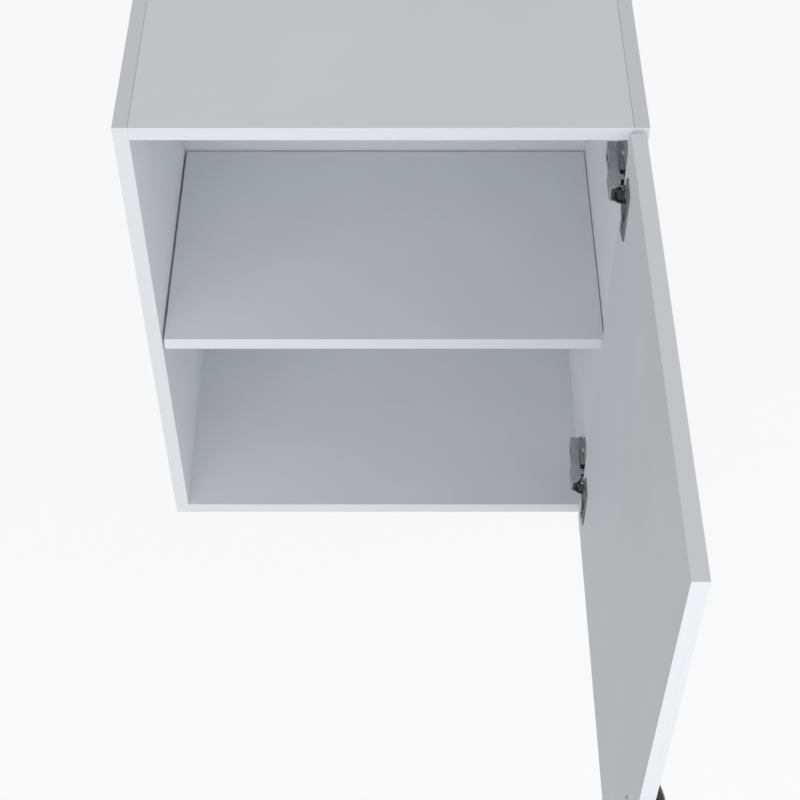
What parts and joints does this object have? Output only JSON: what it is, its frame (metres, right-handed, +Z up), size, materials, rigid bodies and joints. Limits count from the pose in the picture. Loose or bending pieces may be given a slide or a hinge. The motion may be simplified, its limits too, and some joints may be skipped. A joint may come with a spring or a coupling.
{
  "type": "wall cabinet",
  "caption": "White flat-pack wall cabinet with one shelf, a full-overlay door open on concealed cup hinges, a black bow handle and a hidden hanging rail.",
  "frame": {"origin": "on the wall plane, midway between the two screw holes of the hanging rail", "axes": "+X to the right seen from the front, +Y back into the wall, +Z up"},
  "size_m": [0.5243, 0.8227, 0.6],
  "materials": {
    "white_board": "white melamine-faced chipboard, 15 mm, satin",
    "white_backboard": "white lacquered fibreboard, 3 mm",
    "beech": "plain beech",
    "black_metal": "black powder coat on a cast bar",
    "black_plastic": "matt black moulded plastic",
    "zinc": "bare die-cast zinc",
    "zinc_plated_steel": "bright zinc plating",
    "hinge_steel": "nickel-plated pressed steel"
  },
  "bodies": {
    "cabinet": {"side_left": "white_board", "side_right": "white_board", "top_panel": "white_board", "bottom_panel": "white_board", "back_panel": "white_backboard", "shelf": "white_board", "shelf_pins": "zinc", "cam_discs": "zinc", "cam_bolts": "zinc_plated_steel", "dowels": "beech", "wall_rail": "zinc_plated_steel", "hanger_left": "zinc_plated_steel", "hanger_right": "zinc_plated_steel", "hanger_screws": "zinc_plated_steel", "plate_screws": "zinc_plated_steel", "plate_pads": "black_plastic", "mounting_plate_upper": "hinge_steel", "hinge_arm_upper": "hinge_steel", "arm_pins_upper": "hinge_steel", "arm_screws_upper": "hinge_steel", "arm_spring_upper": "hinge_steel", "mounting_plate_lower": "hinge_steel", "hinge_arm_lower": "hinge_steel", "arm_pins_lower": "hinge_steel", "arm_screws_lower": "hinge_steel", "arm_spring_lower": "hinge_steel"},
    "swan_links": {"swan_link_upper": "hinge_steel", "swan_link_lower": "hinge_steel"},
    "fork_links": {"fork_link_upper": "hinge_steel", "fork_link_lower": "hinge_steel"},
    "door": {"door_panel": "white_board", "cup_screws": "zinc_plated_steel", "handle": "black_metal", "handle_screws": "zinc_plated_steel", "hinge_cup_upper": "hinge_steel", "cup_pin_upper": "hinge_steel", "hinge_cup_lower": "hinge_steel", "cup_pin_lower": "hinge_steel"}
  },
  "joints": [
    {"name": "swan_turn", "type": "hinge", "parent": "cabinet", "child": "swan_links", "pos_m": [0.22499, -0.32587, 0], "axis": [0, 0, 1], "range_deg": [-2.85, 50.3]},
    {"name": "fork_turn", "type": "hinge", "parent": "cabinet", "child": "fork_links", "pos_m": [0.2216, -0.331, 0], "axis": [0, 0, 1], "range_deg": [-3.15, 55.6]},
    {"name": "door_swing", "type": "hinge", "parent": "swan_links", "child": "door", "pos_m": [0.2343, -0.3357, 0], "axis": [0, 0, 1], "range_deg": [-140.26, 7.79]}
  ],
  "couplings": [
    {"joint": "swan_turn", "follows": "door_swing", "ratio": -0.35834},
    {"joint": "fork_turn", "follows": "door_swing", "ratio": -0.39599}
  ]
}
